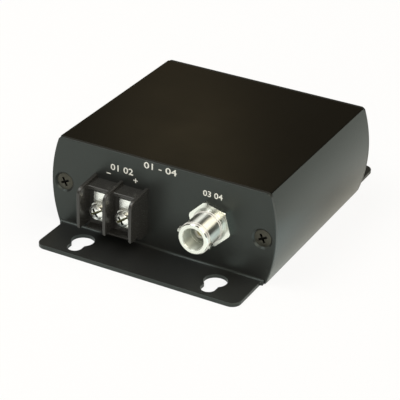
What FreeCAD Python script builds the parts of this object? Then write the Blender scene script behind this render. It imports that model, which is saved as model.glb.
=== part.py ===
import FreeCAD, Part
import math
import os

# A surge protector for a camera's video and power lines: an extruded sleeve with bulging sides, closed
# by a folded plate at each end. Each plate carries a coaxial jack and a two-pole barrier terminal, and its
# foot has two keyholes. The board with the surge parts slides in slots of the sleeve.
# X runs right, Y back and Z up. The origin is under the middle of the box, on the face it stands on.
# The near end's pieces are modelled first. The far end has the same ones, turned half round.

Vec = FreeCAD.Vector

# Sleeve and end plates
CASE_DEPTH = 68.0
CASE_HEIGHT = 30.0
FLAT_WIDTH = 70.6
SIDE_BULGE = 2.65
SLEEVE_WALL = 1.6
SLEEVE_CORNER = 0.4
PLATE = 1.2
PLATE_CORNER = 1.6
PLATE_LOW_CORNER = 0.8
BEND_INSIDE = 0.8
FOOT_REACH = 16.0
FOOT_INSET = 1.2
FOOT_CORNER = 3.0
BEND_INSET = 0.4
RELIEF = 0.15
PLATE_EDGE = 0.25

# Keyholes in the feet
KEYHOLE_SPACING = 45.4
KEYHOLE_FROM_PLATE = 7.0
KEYHOLE_HEAD_R = 3.6
KEYHOLE_NECK_R = 2.3
KEYHOLE_NECK_RUN = 4.6

# Countersunk panel screws and their channels in the sleeve
PANEL_SCREW_R = 1.45
PANEL_SCREW_LENGTH = 8.0
PANEL_SCREW_IN = 4.35
PANEL_SCREW_SUNK = 0.5
PANEL_SCREW_DOME = 0.3
PANEL_SCREW_TURNS = (27.0, 28.0)
SCREW_TIP = 0.5
CHANNEL_WALL = 1.4
COUNTERSINK_R = 3.3
CROSS_LONG = 3.2
CROSS_WIDE = 0.75
CROSS_DEEP = 0.9
CROSS_TAPER = 0.7

# Barrier terminal
TERMINAL_X = -13.5
TERMINAL_LOW = 5.6
TERMINAL_HIGH = 19.8
TERMINAL_BASE = 4.3
PITCH = 8.85
FIN = 1.1
FIN_REACH = 10.2
FIN_LOW = 7.0
FIN_HIGH = 21.0
FIN_TOE_HIGH = 20.2
FIN_ROUND = 2.2
FIN_EDGE = 0.25
ROOF_REACH = 5.8
ROOF_THICK = 1.2
ROOF_EDGE = 0.3
LIP_REACH = 6.4
LIP_THICK = 1.0
BOSS_WIDTH = 4.8
BOSS_HEIGHT = 3.0
BOSS_CATCH = 0.4
BOSS_END = 1.8

# Metal of the terminal
STRIP = 0.8
STRIP_WIDTH = 4.0
STRIP_HIGH = 18.0
TAIL_WIDTH = 3.0
TAIL_Z = 8.3
TAIL_PIN_WIDTH = 1.2
TAIL_PIN_IN = 7.0
CLAMP_WIDTH = 4.2
CLAMP_HEIGHT = 4.8
CLAMP_ROUND_R = 2.75
CLAMP_THICK = 0.7
CLAMP_STAND = 0.4
CLAMP_SCREW_Z = 12.3
CLAMP_SCREW_R = 1.45
CLAMP_SCREW_LENGTH = 5.0
CLAMP_HEAD_R = 2.35
CLAMP_HEAD = 1.7
CLAMP_DOME = 0.6
CLAMP_SCREW_TURNS = (31.0, 35.0)
SLOT_WIDE = 0.6

# Coaxial jack
JACK_X = 17.3
JACK_Z = 15.8
JACK_REACH = 11.8
JACK_SHELL_R = 4.85
JACK_GROOVE_R = 4.55
JACK_MOUTH_R = 3.3
JACK_MOUTH_DEEP = 4.3
JACK_SOCKET_R = 3.0
JACK_SOCKET_DEEP = 7.8
JACK_EDGE = 0.25
JACK_GROOVES = (0.6, 1.6, 8.2, 9.3)
JACK_GROOVE = 0.25
JACK_HEX = 12.4
JACK_HEX_THICK = 1.8
JACK_HEX_TURN = -14.6
HEX_CROWN_R = 6.9
HEX_CHAMFER = 30.0
JACK_THREAD_R = 4.7
JACK_TAIL = 7.5
JACK_NOSE_R = 1.9
JACK_NOSE = 3.2
JACK_COLLAR = 0.4
LUG_R = 0.95
LUG_TIP_R = 5.5
LUG_BACK = 1.4
LUG_TURN = 165.0
CONTACT_R = 1.1
CONTACT_BORE_R = 0.55
CONTACT_BORE = 6.5
CUP_LENGTH = 4.0
CUP_DEEP = 3.0
LINK_BEND = 2.4
TAG = 0.4
TAG_R = 6.6
TAG_TAIL = 3.0
TAG_FOOT = 3.8
LOCK_WASHER = 0.6
LOCK_TEETH = 8
JACK_NUT = 2.4
JACK_NUT_HEX = 12.0

# Earth screw, on the far end only
EARTH_X = 3.0
EARTH_Z = 15.0
EARTH_SCREW_R = 1.95
EARTH_SCREW_LENGTH = 9.0
EARTH_HEAD_R = 3.6
EARTH_HEAD = 2.4
EARTH_DOME = 0.9
EARTH_TURN = 12.0
EARTH_WASHER_R = 4.4
EARTH_WASHER = 0.8
EARTH_NUT_HEX = 7.0
EARTH_NUT = 3.2
EARTH_CROSS_LONG = 4.2
EARTH_CROSS_WIDE = 0.8
EARTH_CROSS_DEEP = 1.1

# Circuit board and its slots
BOARD = 1.6
BOARD_Z = 4.8
RAIL = 1.2
RAIL_REACH = 2.0
LEAD_R = 0.4
LEAD_BELOW = 0.8

# Parts on the board
GAS_TUBE_R = 4.0
GAS_TUBE_WAIST_R = 3.7
GAS_TUBE_RING = 1.1
GAS_TUBE_TWO_POLE = 6.4
GAS_TUBE_THREE_POLE = 10.0
GAS_TUBE_LIFT = 0.5
VARISTOR_R = 5.0
VARISTOR_THICK = 3.8
VARISTOR_BEVEL = 0.9
VARISTOR_PITCH = 7.5
VARISTOR_LIFT = 1.2
CHOKE_R = 4.5
CHOKE_WINDING_R = 3.8
CHOKE_HEIGHT = 10.0
CHOKE_FLANGE = 1.2
CHOKE_PITCH = 5.0
DIODE_R = 2.4
DIODE_LENGTH = 8.6
DIODE_END_R = 2.25
DIODE_END = 1.1
DIODE_SPAN = 13.5
RESISTOR_R = 1.7
RESISTOR_CAP_R = 1.95
RESISTOR_CAP = 1.6
RESISTOR_LENGTH = 9.0
RESISTOR_SPAN = 14.0

# Clearances
SLIDE_GAP = 0.1
HOLE_GAP = 0.2
THREAD_GAP = 0.05
BOARD_END_GAP = 0.3

BOARD_TOP = BOARD_Z + BOARD
LEAD_END = BOARD_Z - LEAD_BELOW
FACE_Y = -CASE_DEPTH / 2
PLATE_BACK = FACE_Y + PLATE
HALF_FLAT = FLAT_WIDTH / 2
FOOT_HALF = HALF_FLAT - FOOT_INSET
BEND_HALF = HALF_FLAT - BEND_INSET
SIDE_R = (CASE_HEIGHT ** 2 / 4 + SIDE_BULGE ** 2) / (2 * SIDE_BULGE)
SIDE_CENTRE = HALF_FLAT + SIDE_BULGE - SIDE_R
PANEL_SCREW_X = HALF_FLAT + SIDE_BULGE - PANEL_SCREW_IN
PANEL_SCREW_Z = CASE_HEIGHT / 2
POLES = (TERMINAL_X - PITCH / 2, TERMINAL_X + PITCH / 2)
CLAMP_SEAT = TERMINAL_BASE + STRIP + CLAMP_STAND + CLAMP_THICK
SOCKET_FLOOR = JACK_REACH - JACK_SOCKET_DEEP
CUP_END = -JACK_TAIL - CUP_LENGTH
LINK_Y = FACE_Y - CUP_END + 2 * LINK_BEND
LEAD_HOLE_R = LEAD_R + HOLE_GAP / 2
BOARD_HALF_DEPTH = CASE_DEPTH / 2 - PLATE - BOARD_END_GAP


def out(reach):
    """Y of a point that stands this far out of the near plate, or inside it where negative."""
    return FACE_Y - reach


def box(x0, x1, y0, y1, z0, z1):
    low = Vec(min(x0, x1), min(y0, y1), min(z0, z1))
    return Part.makeBox(abs(x1 - x0), abs(y1 - y0), abs(z1 - z0), low)


def rod_y(radius, x, z, y0, y1):
    return Part.makeCylinder(radius, abs(y1 - y0), Vec(x, min(y0, y1), z), Vec(0, 1, 0))


def post_z(radius, x, y, z0, z1):
    return Part.makeCylinder(radius, z1 - z0, Vec(x, y, z0), Vec(0, 0, 1))


def turned_y(outline, x, z):
    """A solid of revolution about the line along Y at x, z. The outline holds (radius, y) points."""
    face = Part.Face(Part.makePolygon([Vec(x + r, y, z) for r, y in outline + outline[:1]]))
    return face.revolve(Vec(x, 0, z), Vec(0, 1, 0), 360)


def prism_x(outline, x0, x1):
    """A closed outline of (y, z) points, drawn out from x0 to x1."""
    face = Part.Face(Part.makePolygon([Vec(x0, y, z) for y, z in outline + outline[:1]]))
    return face.extrude(Vec(x1 - x0, 0, 0))


def hexagon_y(flats, x, z, y0, y1, turn=0.0):
    corner = flats / math.sqrt(3)
    angles = [math.radians(turn + 60 * i) for i in range(7)]
    ring = [Vec(x + corner * math.cos(a), min(y0, y1), z + corner * math.sin(a)) for a in angles]
    return Part.Face(Part.makePolygon(ring)).extrude(Vec(0, abs(y1 - y0), 0))


def bulged_bar(inset, y0, y1):
    """The sleeve's outline, set in by the given wall, drawn out along Y."""
    radius = SIDE_R - inset
    top, bottom = CASE_HEIGHT - inset, inset
    middle = CASE_HEIGHT / 2
    x = SIDE_CENTRE + math.sqrt(radius ** 2 - (middle - inset) ** 2)
    bulge_x = SIDE_CENTRE + radius
    right = Part.Arc(Vec(x, y0, bottom), Vec(bulge_x, y0, middle), Vec(x, y0, top)).toShape()
    left = Part.Arc(Vec(-x, y0, top), Vec(-bulge_x, y0, middle), Vec(-x, y0, bottom)).toShape()
    base = Part.LineSegment(Vec(-x, y0, bottom), Vec(x, y0, bottom)).toShape()
    roof = Part.LineSegment(Vec(x, y0, top), Vec(-x, y0, top)).toShape()
    return Part.Face(Part.Wire([base, right, roof, left])).extrude(Vec(0, y1 - y0, 0))


def edges_along(shape, axis, test):
    """Straight edges of a shape that run along the axis and whose middle passes the test."""
    found = []
    for edge in shape.Edges:
        if edge.Curve.TypeId != "Part::GeomLine":
            continue
        run = edge.Vertexes[-1].Point - edge.Vertexes[0].Point
        if run.Length > 1e-6 and abs(abs(run.normalize().dot(axis)) - 1) < 1e-6 and test(edge.CenterOfMass):
            found.append(edge)
    return found


def bent_rod(points, bend, radius):
    """A round rod along the given points, with the same bend radius at each of the inner ones."""
    edges = []
    start = points[0]
    for before, corner, after in zip(points, points[1:], points[2:]):
        arrive = (corner - before).normalize()
        leave = (after - corner).normalize()
        back = bend * math.tan(arrive.getAngle(leave) / 2)
        first, last = corner - arrive * back, corner + leave * back
        inward = (leave - arrive).normalize()
        middle = corner + inward * (math.hypot(bend, back) - bend)
        edges.append(Part.LineSegment(start, first).toShape())
        edges.append(Part.Arc(first, middle, last).toShape())
        start = last
    edges.append(Part.LineSegment(start, points[-1]).toShape())
    circle = Part.makeCircle(radius, points[0], points[1] - points[0])
    return Part.Wire(edges).makePipeShell([Part.Wire([circle])], True, True)


def dome_y(radius, rise, x, z, y):
    """A shallow round cap that stands towards -Y on the plane at y."""
    ball = (radius ** 2 + rise ** 2) / (2 * rise)
    half = math.asin(radius / ball) / 2
    foot, rim, top = Vec(x, y, z), Vec(x + radius, y, z), Vec(x, y - rise, z)
    middle = top + Vec(ball * math.sin(half), ball * (1 - math.cos(half)), 0)
    edges = [Part.LineSegment(foot, rim).toShape(), Part.Arc(rim, middle, top).toShape(),
             Part.LineSegment(top, foot).toShape()]
    return Part.Face(Part.Wire(edges)).revolve(foot, Vec(0, 1, 0), 360)


def cross_recess(x, z, face_y, long, wide, deep, turn=0.0):
    """A cross of two tapered arms, cut into a screw head that faces -Y."""
    arms = []
    for angle in (turn, turn + 90):
        half = long / 2
        tip = half - deep * CROSS_TAPER
        shape = [Vec(-half, 0, 0), Vec(half, 0, 0), Vec(tip, deep, 0), Vec(-tip, deep, 0), Vec(-half, 0, 0)]
        arm = Part.Face(Part.makePolygon(shape)).extrude(Vec(0, 0, wide))
        arm.translate(Vec(0, 0, -wide / 2))
        arm.rotate(Vec(0, 0, 0), Vec(0, 1, 0), -angle)
        arms.append(arm)
    cross = arms[0].fuse(arms[1])
    cross.translate(Vec(x, face_y, z))
    return cross


# Sleeve

def board_half_width():
    inner = SIDE_R - SLEEVE_WALL
    return SIDE_CENTRE + math.sqrt(inner ** 2 - (CASE_HEIGHT / 2 - BOARD_Z) ** 2) - HOLE_GAP


def make_case_body():
    y0, y1 = PLATE_BACK, -PLATE_BACK
    outer = bulged_bar(0, y0, y1)
    outer = outer.makeFillet(SLEEVE_CORNER, edges_along(outer, Vec(0, 1, 0), lambda p: True))
    body = outer.cut(bulged_bar(SLEEVE_WALL, y0, y1))
    channel_r = PANEL_SCREW_R + THREAD_GAP + CHANNEL_WALL
    rail_x = board_half_width() - RAIL_REACH
    low_rail = BOARD_Z - SLIDE_GAP
    high_rail = BOARD_TOP + SLIDE_GAP
    ribs = []
    for side in (-1, 1):
        x = side * PANEL_SCREW_X
        wall_x = side * (HALF_FLAT + SIDE_BULGE)
        ribs.append(rod_y(channel_r, x, PANEL_SCREW_Z, y0, y1))
        ribs.append(box(x, wall_x, y0, y1, PANEL_SCREW_Z - channel_r / 2, PANEL_SCREW_Z + channel_r / 2))
        ribs.append(box(side * rail_x, wall_x, y0, y1, low_rail - RAIL, low_rail))
        ribs.append(box(side * rail_x, wall_x, y0, y1, high_rail, high_rail + RAIL))
    body = body.fuse([rib.common(bulged_bar(SLEEVE_WALL / 2, y0, y1)) for rib in ribs])
    bore_r = PANEL_SCREW_R + THREAD_GAP
    mouth_r = COUNTERSINK_R - PLATE + THREAD_GAP
    mouth = mouth_r - bore_r
    cuts = []
    for side in (-1, 1):
        x = side * PANEL_SCREW_X
        cuts.append(rod_y(bore_r, x, PANEL_SCREW_Z, y0, y1))
        cuts.append(Part.makeCone(mouth_r, bore_r, mouth, Vec(x, y0, PANEL_SCREW_Z), Vec(0, 1, 0)))
        cuts.append(Part.makeCone(mouth_r, bore_r, mouth, Vec(x, y1, PANEL_SCREW_Z), Vec(0, -1, 0)))
    return body.cut(cuts).removeSplitter()


# End plates

def keyhole(x):
    y = out(KEYHOLE_FROM_PLATE)
    neck_y = y - KEYHOLE_NECK_RUN
    head = post_z(KEYHOLE_HEAD_R, x, y, -PLATE, 2 * PLATE)
    neck_end = post_z(KEYHOLE_NECK_R, x, neck_y, -PLATE, 2 * PLATE)
    neck = box(x - KEYHOLE_NECK_R, x + KEYHOLE_NECK_R, neck_y, y, -PLATE, 2 * PLATE)
    return head.fuse([neck_end, neck])


def folded_foot():
    """The fold at the foot of the plate: a short upright, a quarter bend and the flat foot."""
    bend_y = FACE_Y - BEND_INSIDE
    bend_z = PLATE + BEND_INSIDE
    outside = BEND_INSIDE + PLATE
    rise = bend_z + RELIEF
    half = math.sqrt(0.5)
    toe_y = out(FOOT_REACH)
    x = -BEND_HALF

    def line(a, b):
        return Part.LineSegment(Vec(x, *a), Vec(x, *b)).toShape()

    def bend(radius):
        middle = Vec(x, bend_y + radius * half, bend_z - radius * half)
        return Part.Arc(Vec(x, bend_y, bend_z - radius), middle, Vec(x, bend_y + radius, bend_z)).toShape()

    edges = [
        line((toe_y, 0), (bend_y, 0)),
        bend(outside),
        line((PLATE_BACK, bend_z), (PLATE_BACK, rise)),
        line((PLATE_BACK, rise), (FACE_Y, rise)),
        line((FACE_Y, rise), (FACE_Y, bend_z)),
        bend(BEND_INSIDE),
        line((bend_y, PLATE), (toe_y, PLATE)),
        line((toe_y, PLATE), (toe_y, 0)),
    ]
    fold = Part.Face(Part.Wire(Part.sortEdges(edges)[0])).extrude(Vec(2 * BEND_HALF, 0, 0))
    waste = box(FOOT_HALF, HALF_FLAT, toe_y - PLATE, bend_y, -PLATE, 2 * PLATE)
    shoulder = edges_along(waste, Vec(0, 0, 1), lambda p: p.x < FOOT_HALF + 0.01 and p.y > toe_y)
    waste = waste.makeFillet((BEND_HALF - FOOT_HALF) / 2, shoulder)
    fold = fold.cut([waste, waste.mirror(Vec(0, 0, 0), Vec(1, 0, 0))])
    corners = edges_along(fold, Vec(0, 0, 1), lambda p: p.y < toe_y + 0.01)
    fold = fold.makeFillet(FOOT_CORNER, corners)
    rim = [edge for edge in fold.Edges if abs(edge.CenterOfMass.z - PLATE) < 0.01
           and edge.CenterOfMass.y < bend_y - 0.01]
    return fold.makeFillet(PLATE_EDGE, rim), rise


def make_plate(holes):
    plate = bulged_bar(0, FACE_Y, PLATE_BACK)
    middle = CASE_HEIGHT / 2
    plate = plate.makeFillet(PLATE_CORNER, edges_along(plate, Vec(0, 1, 0), lambda p: p.z > middle))
    low_corners = edges_along(plate, Vec(0, 1, 0), lambda p: p.z < middle and abs(p.x) > FOOT_HALF)
    plate = plate.makeFillet(PLATE_LOW_CORNER, low_corners)
    plate = plate.makeFillet(PLATE_EDGE, [edge for edge in plate.Edges if edge.CenterOfMass.y < FACE_Y + 0.01])
    foot, rise = folded_foot()
    cleared = BEND_HALF + RELIEF
    plate = plate.cut(box(-cleared, cleared, FACE_Y - PLATE, PLATE_BACK + PLATE, -PLATE, rise))
    plate = plate.fuse(foot)
    cuts = [keyhole(-KEYHOLE_SPACING / 2), keyhole(KEYHOLE_SPACING / 2)]
    for side in (-1, 1):
        seat = Vec(side * PANEL_SCREW_X, FACE_Y, PANEL_SCREW_Z)
        cuts.append(Part.makeCone(COUNTERSINK_R, COUNTERSINK_R - PLATE, PLATE, seat, Vec(0, 1, 0)))
    cuts.append(rod_y(JACK_THREAD_R + HOLE_GAP, JACK_X, JACK_Z, FACE_Y - PLATE, PLATE_BACK + PLATE))
    for x in POLES:
        cuts.append(boss_box(x, HOLE_GAP / 2, FACE_Y - PLATE, PLATE_BACK + PLATE))
    return plate.cut(cuts + holes).removeSplitter()


def make_panel_screw(side):
    """A countersunk screw with a raised head, set a little below the face of the plate."""
    top = FACE_Y + PANEL_SCREW_SUNK
    head_r = COUNTERSINK_R - PANEL_SCREW_SUNK - THREAD_GAP
    neck = head_r - PANEL_SCREW_R
    end = top + PANEL_SCREW_LENGTH
    outline = [(0, top), (head_r, top), (PANEL_SCREW_R, top + neck), (PANEL_SCREW_R, end - SCREW_TIP),
               (PANEL_SCREW_R - SCREW_TIP, end), (0, end)]
    x = side * PANEL_SCREW_X
    screw = turned_y(outline, x, PANEL_SCREW_Z)
    screw = screw.fuse(dome_y(head_r, PANEL_SCREW_DOME, x, PANEL_SCREW_Z, top)).removeSplitter()
    turn = PANEL_SCREW_TURNS[0 if side < 0 else 1]
    crown = top - PANEL_SCREW_DOME
    return screw.cut(cross_recess(x, PANEL_SCREW_Z, crown, CROSS_LONG, CROSS_WIDE, CROSS_DEEP, turn))


# Barrier terminal

def boss_box(x, gap, y0, y1):
    """The moulded boss round a contact's tail, or the window that it passes through."""
    half_x = BOSS_WIDTH / 2 + gap
    half_z = BOSS_HEIGHT / 2 + gap
    return box(x - half_x, x + half_x, y0, y1, TAIL_Z - half_z, TAIL_Z + half_z)


def barrier_fin(x):
    """A fin whose top falls a little towards its rounded toe."""
    root_y, toe_y = out(0), out(FIN_REACH)
    outline = [(root_y, FIN_LOW), (root_y, FIN_HIGH), (toe_y, FIN_TOE_HIGH), (toe_y, FIN_LOW)]
    fin = prism_x(outline, x - FIN / 2, x + FIN / 2)
    rounded = edges_along(fin, Vec(1, 0, 0), lambda p: p.y < toe_y + 0.01)
    fin = fin.makeFillet(FIN_ROUND, rounded)
    rims = [edge for edge in fin.Edges if abs(edge.CenterOfMass.x - x) > FIN / 2 - 0.01
            and edge.CenterOfMass.y < root_y - 0.01]
    return fin.makeFillet(FIN_EDGE, rims)


def make_terminal_block():
    left, right = TERMINAL_X - PITCH - FIN / 2, TERMINAL_X + PITCH + FIN / 2
    base = box(left, right, out(0), out(TERMINAL_BASE), TERMINAL_LOW, TERMINAL_HIGH)
    roof = box(left + FIN, right - FIN, out(0), out(ROOF_REACH), TERMINAL_HIGH - ROOF_THICK, TERMINAL_HIGH)
    eave = edges_along(roof, Vec(1, 0, 0), lambda p: p.y < out(ROOF_REACH) + 0.01)
    roof = roof.makeFillet(ROOF_EDGE, eave)
    lip = [(out(0), TERMINAL_LOW), (out(LIP_REACH), TERMINAL_LOW),
           (out(LIP_REACH), TERMINAL_LOW + LIP_THICK / 2), (out(TERMINAL_BASE), TERMINAL_LOW + LIP_THICK),
           (out(0), TERMINAL_LOW + LIP_THICK)]
    pieces = [roof, prism_x(lip, left + FIN, right - FIN)]
    pieces += [barrier_fin(TERMINAL_X + step * PITCH) for step in (-1, 0, 1)]
    cuts = []
    for x in POLES:
        boss_y = out(-PLATE - BOSS_END)
        catch_y = out(-PLATE - SLIDE_GAP)
        crest = TAIL_Z + BOSS_HEIGHT / 2
        pieces.append(boss_box(x, 0, out(0), boss_y))
        wedge = [(catch_y, crest), (catch_y, crest + BOSS_CATCH), (boss_y, crest)]
        pieces.append(prism_x(wedge, x - BOSS_WIDTH / 4, x + BOSS_WIDTH / 4))
        slot = STRIP / 2 + SLIDE_GAP
        cuts.append(box(x - TAIL_WIDTH / 2 - SLIDE_GAP, x + TAIL_WIDTH / 2 + SLIDE_GAP,
                        out(TERMINAL_BASE + STRIP), boss_y + PLATE, TAIL_Z - slot, TAIL_Z + slot))
        screw_end = out(CLAMP_SEAT - CLAMP_SCREW_LENGTH)
        cuts.append(rod_y(CLAMP_SCREW_R + HOLE_GAP, x, CLAMP_SCREW_Z, out(TERMINAL_BASE),
                          screw_end + HOLE_GAP))
    return base.fuse(pieces).cut(cuts).removeSplitter()


def make_contact(x):
    """A strip that stands behind the clamp, runs back through the plate and turns down into the board."""
    front = out(TERMINAL_BASE + STRIP)
    pin_y = out(-TAIL_PIN_IN)
    low, high = TAIL_Z - STRIP / 2, TAIL_Z + STRIP / 2
    upright = box(x - STRIP_WIDTH / 2, x + STRIP_WIDTH / 2, front, front + STRIP, low, STRIP_HIGH)
    tail = box(x - TAIL_WIDTH / 2, x + TAIL_WIDTH / 2, front, pin_y + STRIP / 2, low, high)
    half_pin = TAIL_PIN_WIDTH / 2
    pin = box(x - half_pin, x + half_pin, pin_y - STRIP / 2, pin_y + STRIP / 2, LEAD_END, high)
    strip = upright.fuse([tail, pin]).removeSplitter()
    bends = edges_along(strip, Vec(1, 0, 0), lambda p: p.z < low + 0.01 and p.y < front + 0.01)
    strip = strip.makeFillet(STRIP, bends)
    hole = rod_y(CLAMP_SCREW_R + THREAD_GAP, x, CLAMP_SCREW_Z, front - STRIP, front + 2 * STRIP)
    return strip.cut(hole)


def make_clamp(x):
    """A wire clamp: a plate with round corners, bent back to the contact at its upper and lower edge."""
    back, step = out(TERMINAL_BASE + STRIP), out(TERMINAL_BASE + STRIP + CLAMP_STAND)
    front = out(CLAMP_SEAT)
    top, bottom = CLAMP_SCREW_Z + CLAMP_HEIGHT / 2, CLAMP_SCREW_Z - CLAMP_HEIGHT / 2
    outline = [(back, top), (front, top), (front, bottom), (back, bottom), (back, bottom + CLAMP_THICK),
               (step, bottom + CLAMP_THICK), (step, top - CLAMP_THICK), (back, top - CLAMP_THICK)]
    clamp = prism_x(outline, x - CLAMP_WIDTH / 2, x + CLAMP_WIDTH / 2)
    clamp = clamp.common(rod_y(CLAMP_ROUND_R, x, CLAMP_SCREW_Z, back, front))
    return clamp.cut(rod_y(CLAMP_SCREW_R + HOLE_GAP, x, CLAMP_SCREW_Z, back, front))


def make_clamp_screw(x, turn):
    """A screw with a domed head that has both a slot and a cross."""
    seat = out(CLAMP_SEAT)
    crown = seat - CLAMP_HEAD
    top = crown + CLAMP_DOME
    end = seat + CLAMP_SCREW_LENGTH
    outline = [(0, top), (CLAMP_HEAD_R, top), (CLAMP_HEAD_R, seat), (CLAMP_SCREW_R, seat), (CLAMP_SCREW_R, end),
               (0, end)]
    screw = turned_y(outline, x, CLAMP_SCREW_Z)
    screw = screw.fuse(dome_y(CLAMP_HEAD_R, CLAMP_DOME, x, CLAMP_SCREW_Z, top)).removeSplitter()
    slot = box(x - CLAMP_HEAD_R - SLOT_WIDE, x + CLAMP_HEAD_R + SLOT_WIDE, crown, crown + CROSS_DEEP,
               CLAMP_SCREW_Z - SLOT_WIDE / 2, CLAMP_SCREW_Z + SLOT_WIDE / 2)
    slot.rotate(Vec(x, 0, CLAMP_SCREW_Z), Vec(0, 1, 0), -turn)
    return screw.cut([slot, cross_recess(x, CLAMP_SCREW_Z, crown, CROSS_LONG, CROSS_WIDE, CROSS_DEEP, turn)])


# Coaxial jack

def make_jack_body():
    """A turned shell with fine grooves round it, a hexagon at the plate and a threaded tail."""
    mouth_end = JACK_REACH - JACK_MOUTH_DEEP
    collar_r = JACK_SOCKET_R + JACK_COLLAR
    outline = [
        (JACK_MOUTH_R, out(mouth_end)), (JACK_MOUTH_R, out(JACK_REACH - JACK_EDGE)),
        (JACK_MOUTH_R + JACK_EDGE, out(JACK_REACH)),
        (JACK_SHELL_R - JACK_EDGE, out(JACK_REACH)), (JACK_SHELL_R, out(JACK_REACH - JACK_EDGE)),
    ]
    for back in JACK_GROOVES:
        front = out(JACK_REACH - back) - JACK_GROOVE / 2
        rear = front + JACK_GROOVE
        outline += [(JACK_SHELL_R, front), (JACK_GROOVE_R, front), (JACK_GROOVE_R, rear), (JACK_SHELL_R, rear)]
    outline += [
        (JACK_SHELL_R, out(0)), (JACK_THREAD_R, out(0)), (JACK_THREAD_R, out(-JACK_TAIL)),
        (collar_r, out(-JACK_TAIL)), (collar_r, out(-PLATE)), (JACK_SOCKET_R, out(-PLATE)),
        (JACK_SOCKET_R, out(mouth_end)),
    ]
    shell = turned_y(outline, JACK_X, JACK_Z)
    hexagon = hexagon_y(JACK_HEX, JACK_X, JACK_Z, out(0), out(JACK_HEX_THICK), JACK_HEX_TURN)
    widen = JACK_HEX_THICK / math.tan(math.radians(HEX_CHAMFER))
    front = Vec(JACK_X, out(JACK_HEX_THICK), JACK_Z)
    crown = Part.makeCone(HEX_CROWN_R, HEX_CROWN_R + widen, JACK_HEX_THICK, front, Vec(0, 1, 0))
    hexagon = hexagon.common(crown)
    hexagon = hexagon.cut(rod_y(JACK_GROOVE_R, JACK_X, JACK_Z, out(0), out(JACK_HEX_THICK)))
    root = JACK_MOUTH_R + JACK_EDGE
    lugs = []
    for turn in (LUG_TURN, LUG_TURN + 180):
        angle = math.radians(turn)
        ray = Vec(math.cos(angle), 0, math.sin(angle))
        start = Vec(JACK_X, out(JACK_REACH - LUG_BACK), JACK_Z) + ray * root
        lugs.append(Part.makeCylinder(LUG_R, LUG_TIP_R - root, start, ray))
    return shell.fuse([hexagon] + lugs).removeSplitter()


def make_jack_insulator():
    nose = SOCKET_FLOOR + JACK_NOSE
    collar_r = JACK_SOCKET_R + JACK_COLLAR
    outline = [
        (CONTACT_R, out(nose)), (JACK_NOSE_R, out(nose)), (JACK_NOSE_R, out(SOCKET_FLOOR)),
        (JACK_SOCKET_R, out(SOCKET_FLOOR)), (JACK_SOCKET_R, out(-PLATE)), (collar_r, out(-PLATE)),
        (collar_r, out(-JACK_TAIL)), (CONTACT_R, out(-JACK_TAIL)),
    ]
    return turned_y(outline, JACK_X, JACK_Z)


def make_jack_contact():
    """The socket contact, with a bore for the plug's pin and a solder cup at the back."""
    tip = SOCKET_FLOOR + JACK_NOSE - HOLE_GAP
    bore_r = CONTACT_BORE_R
    cup_floor = CUP_END + CUP_DEEP
    outline = [(0, out(tip - CONTACT_BORE)), (bore_r, out(tip - CONTACT_BORE)), (bore_r, out(tip)),
               (CONTACT_R, out(tip)), (CONTACT_R, out(CUP_END)), (bore_r, out(CUP_END)),
               (bore_r, out(cup_floor)), (0, out(cup_floor))]
    contact = turned_y(outline, JACK_X, JACK_Z)
    window = box(JACK_X - CONTACT_R, JACK_X + CONTACT_R, out(CUP_END + CUP_LENGTH / 2), out(CUP_END),
                 JACK_Z + CONTACT_R / 4, JACK_Z + 2 * CONTACT_R)
    return contact.cut(window)


def make_tag(x, z, hole_r, ring_r, thick):
    """An earth tag: a ring on the back of the plate, with a tail that turns onto the board."""
    y0, y1 = PLATE_BACK, PLATE_BACK + thick
    ring = rod_y(ring_r, x, z, y0, y1)
    tail = box(x - TAG_TAIL / 2, x + TAG_TAIL / 2, y0, y1, BOARD_TOP, z)
    foot = box(x - TAG_TAIL / 2, x + TAG_TAIL / 2, y0, y0 + TAG_FOOT, BOARD_TOP, BOARD_TOP + thick)
    return ring.fuse([tail, foot]).cut(rod_y(hole_r, x, z, y0, y1)).removeSplitter()


def make_jack_lock_washer():
    y0 = PLATE_BACK + TAG
    y1 = y0 + LOCK_WASHER
    inside = JACK_THREAD_R + HOLE_GAP
    tooth = (TAG_R - inside) / 2
    washer = rod_y(TAG_R, JACK_X, JACK_Z, y0, y1).cut(rod_y(inside, JACK_X, JACK_Z, y0, y1))
    notch = box(JACK_X - tooth / 2, JACK_X + tooth / 2, y0, y1, JACK_Z + inside / 2, JACK_Z + inside + tooth)
    notches = []
    for i in range(LOCK_TEETH):
        turned = notch.copy()
        turned.rotate(Vec(JACK_X, 0, JACK_Z), Vec(0, 1, 0), 360 * i / LOCK_TEETH)
        notches.append(turned)
    return washer.cut(notches)


def make_jack_nut():
    y0 = PLATE_BACK + TAG + LOCK_WASHER
    nut = hexagon_y(JACK_NUT_HEX, JACK_X, JACK_Z, y0, y0 + JACK_NUT)
    return nut.cut(rod_y(JACK_THREAD_R + THREAD_GAP, JACK_X, JACK_Z, y0, y0 + JACK_NUT))


def make_jack_link():
    """The wire from the contact's solder cup down through the board."""
    start = Vec(JACK_X, out(CUP_END + CUP_LENGTH / 2), JACK_Z)
    corner = Vec(JACK_X, LINK_Y, JACK_Z)
    return bent_rod([start, corner, Vec(JACK_X, LINK_Y, LEAD_END)], LINK_BEND, LEAD_R)


# Earth screw

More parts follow.
